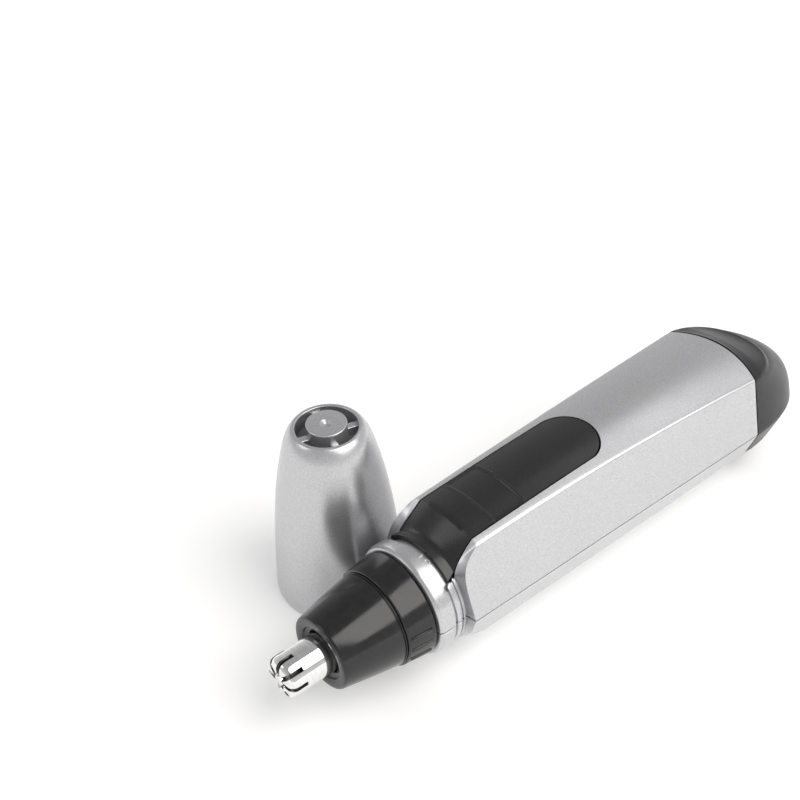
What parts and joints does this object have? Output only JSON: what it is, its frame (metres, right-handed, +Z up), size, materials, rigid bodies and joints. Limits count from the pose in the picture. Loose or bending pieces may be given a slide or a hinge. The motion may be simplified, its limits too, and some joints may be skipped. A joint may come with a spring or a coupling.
{
  "type": "nose hair trimmer",
  "caption": "Battery nose and ear hair trimmer with a slotted rotary cutter, twist-off head, slide switch, pull-off battery cover and a separate vented cap.",
  "frame": {"origin": "middle of the flat strip on the underside of the lower shell, on the surface that the trimmer lies on", "axes": "+X along the trimmer from the cutter to the battery cover, +Y towards the standing cap, +Z up through the switch panel"},
  "size_m": [0.135, 0.0526, 0.0408],
  "materials": {
    "silver_paint": "satin silver paint over moulded plastic",
    "black_head": "gloss black",
    "black_slider": "satin black",
    "black_bed": "matt black",
    "dark_cover": "satin dark grey",
    "cutter_steel": "polished stainless",
    "inner_plastic": "natural moulded",
    "copper_alloy": "bare",
    "nickel_plate": "nickel plated",
    "motor_iron": "dull laminations",
    "cell_case": "plain printed sleeve"
  },
  "bodies": {
    "housing": {"upper_shell": "silver_paint", "lower_shell": "silver_paint", "slider_bed": "black_bed", "chassis": "inner_plastic", "motor_can": "nickel_plate", "motor_end_cap": "inner_plastic", "magnet_left": "motor_iron", "magnet_right": "motor_iron", "brush_left": "copper_alloy", "brush_right": "copper_alloy", "front_bearing": "copper_alloy", "rear_bearing": "copper_alloy", "terminal_left": "copper_alloy", "terminal_right": "copper_alloy", "positive_contact": "nickel_plate", "motor_strip": "nickel_plate", "negative_strip": "nickel_plate", "battery_cell": "cell_case"},
    "head": {"head_frame": "black_head", "outer_cutter": "cutter_steel", "cutter_retainer": "black_bed"},
    "rotor": {"inner_cutter": "cutter_steel", "cutter_spindle": "inner_plastic", "cutter_spring": "nickel_plate", "drive_coupling": "inner_plastic", "motor_shaft": "cutter_steel", "armature": "motor_iron", "commutator": "copper_alloy"},
    "switch": {"switch_slider": "black_slider", "switch_bridge": "copper_alloy"},
    "tail_cover": {"battery_cover": "dark_cover", "cover_contact": "nickel_plate", "battery_spring": "nickel_plate"},
    "cap": {"cap": "silver_paint"}
  },
  "joints": [
    {"name": "head_twist", "type": "hinge", "parent": "housing", "child": "head", "pos_m": [-0.055, 0, 0.0152], "axis": [1, 0, 0], "range_deg": [0, 35]},
    {"name": "rotor_spin", "type": "hinge", "parent": "housing", "child": "rotor", "pos_m": [-0.03, 0, 0.0152], "axis": [1, 0, 0], "continuous": true},
    {"name": "switch_slide", "type": "slide", "parent": "housing", "child": "switch", "axis": [-1, 0, 0], "range_m": [0, 0.0017]},
    {"name": "cover_pull", "type": "slide", "parent": "housing", "child": "tail_cover", "axis": [1, 0, 0], "range_m": [0, 0.03]},
    {"name": "cap_lift", "type": "slide", "parent": "housing", "child": "cap", "axis": [0, 0.09, 0.9959], "range_m": [0, 0.06]}
  ]
}
